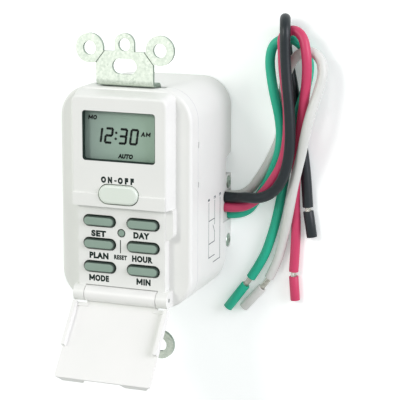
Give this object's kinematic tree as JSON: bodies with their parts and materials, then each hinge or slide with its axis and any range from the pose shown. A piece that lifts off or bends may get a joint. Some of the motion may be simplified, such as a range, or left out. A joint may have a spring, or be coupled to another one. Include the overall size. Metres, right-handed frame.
{
  "type": "timer light switch",
  "caption": "In-wall timer switch: raised panel with display and oval button, keypad plateau under a hinged door, bent mounting strap with ear rings, and a folded bundle of free leads",
  "frame": {"origin": "middle of the rear rest plane, straight behind the middle of the mounting strap", "axes": "+Z out of the face towards the user, +Y towards the top ears, +X to the user's right, where the leads leave"},
  "size_m": [0.0789, 0.114, 0.0588],
  "materials": {
    "housing_plastic": "fine satin",
    "door_plastic": "fine satin",
    "strap_steel": "zinc plated, mottled",
    "pin_steel": "drawn",
    "screw_steel": "zinc plated",
    "window_plastic": "clear, glossy",
    "display_cell": "grey-green reflective film behind glass",
    "frame_plastic": "moulded",
    "elastomer": "layered silicone",
    "mat_rubber": "moulded silicone",
    "key_plastic": "satin",
    "switch_plastic": "satin",
    "board_laminate": "solder-mask green",
    "chip_plastic": "moulded",
    "crystal_can": "bright can",
    "cell_steel": "bright nickel",
    "clip_steel": "spring sheet",
    "relay_plastic": "moulded",
    "film_capacitor_resin": "cast box",
    "capacitor_sleeve": "shrunk sleeve",
    "varistor_resin": "dipped",
    "diode_plastic": "moulded",
    "header_plastic": "moulded",
    "grommet_rubber": "moulded",
    "insulation_black": "soft sheen",
    "insulation_red": "soft sheen",
    "insulation_green": "soft sheen",
    "insulation_white": "soft sheen",
    "tinned_copper": "stranded, tinned"
  },
  "bodies": {
    "housing": {"front_housing": "housing_plastic", "rear_housing": "housing_plastic", "lead_cover": "housing_plastic", "mounting_strap": "strap_steel", "hinge_pin": "pin_steel", "lead_cover_screws": "screw_steel", "case_screws": "screw_steel", "logic_board_screws": "screw_steel", "display_window": "window_plastic", "display_glass": "display_cell", "display_frame": "frame_plastic", "display_contact_strips": "elastomer", "key_mat": "mat_rubber", "logic_board": "board_laminate", "power_board": "board_laminate", "controller_chip": "chip_plastic", "clock_crystal": "crystal_can", "backup_cell": "cell_steel", "cell_clip": "clip_steel", "relay": "relay_plastic", "film_capacitor": "film_capacitor_resin", "smoothing_capacitor": "capacitor_sleeve", "varistor": "varistor_resin", "rectifier_diodes": "diode_plastic", "board_header": "header_plastic", "lead_grommet": "grommet_rubber", "lead_black": "insulation_black", "lead_tail_black": "insulation_black", "sleeve_black": "insulation_black", "conductor_black": "tinned_copper", "lead_red": "insulation_red", "lead_tail_red": "insulation_red", "sleeve_red": "insulation_red", "conductor_red": "tinned_copper", "lead_green": "insulation_green", "lead_tail_green": "insulation_green", "sleeve_green": "insulation_green", "conductor_green": "tinned_copper", "lead_white": "insulation_white", "lead_tail_white": "insulation_white", "sleeve_white": "insulation_white", "conductor_white": "tinned_copper"},
    "door": {"keypad_door": "door_plastic"},
    "button_on_off": {"on_off_button": "switch_plastic"},
    "button_reset": {"reset_button": "key_plastic"},
    "button_set": {"key_set": "key_plastic"},
    "button_day": {"key_day": "key_plastic"},
    "button_program": {"key_program": "key_plastic"},
    "button_hour": {"key_hour": "key_plastic"},
    "button_mode": {"key_mode": "key_plastic"},
    "button_minute": {"key_minute": "key_plastic"}
  },
  "joints": [
    {"name": "door_hinge", "type": "hinge", "parent": "housing", "child": "door", "pos_m": [0, -0.0313, 0.0416], "axis": [-1, 0, 0], "range_deg": [0, 140]},
    {"name": "on_off_press", "type": "slide", "parent": "housing", "child": "button_on_off", "axis": [0, 0, -1], "range_m": [0, 0.0007], "stiffness_N_per_m": 300, "springref_m": -0.0005},
    {"name": "reset_press", "type": "slide", "parent": "housing", "child": "button_reset", "axis": [0, 0, -1], "range_m": [0, 0.0007], "stiffness_N_per_m": 300, "springref_m": -0.0005},
    {"name": "set_press", "type": "slide", "parent": "housing", "child": "button_set", "axis": [0, 0, -1], "range_m": [0, 0.0007], "stiffness_N_per_m": 300, "springref_m": -0.0005},
    {"name": "day_press", "type": "slide", "parent": "housing", "child": "button_day", "axis": [0, 0, -1], "range_m": [0, 0.0007], "stiffness_N_per_m": 300, "springref_m": -0.0005},
    {"name": "program_press", "type": "slide", "parent": "housing", "child": "button_program", "axis": [0, 0, -1], "range_m": [0, 0.0007], "stiffness_N_per_m": 300, "springref_m": -0.0005},
    {"name": "hour_press", "type": "slide", "parent": "housing", "child": "button_hour", "axis": [0, 0, -1], "range_m": [0, 0.0007], "stiffness_N_per_m": 300, "springref_m": -0.0005},
    {"name": "mode_press", "type": "slide", "parent": "housing", "child": "button_mode", "axis": [0, 0, -1], "range_m": [0, 0.0007], "stiffness_N_per_m": 300, "springref_m": -0.0005},
    {"name": "minute_press", "type": "slide", "parent": "housing", "child": "button_minute", "axis": [0, 0, -1], "range_m": [0, 0.0007], "stiffness_N_per_m": 300, "springref_m": -0.0005}
  ]
}
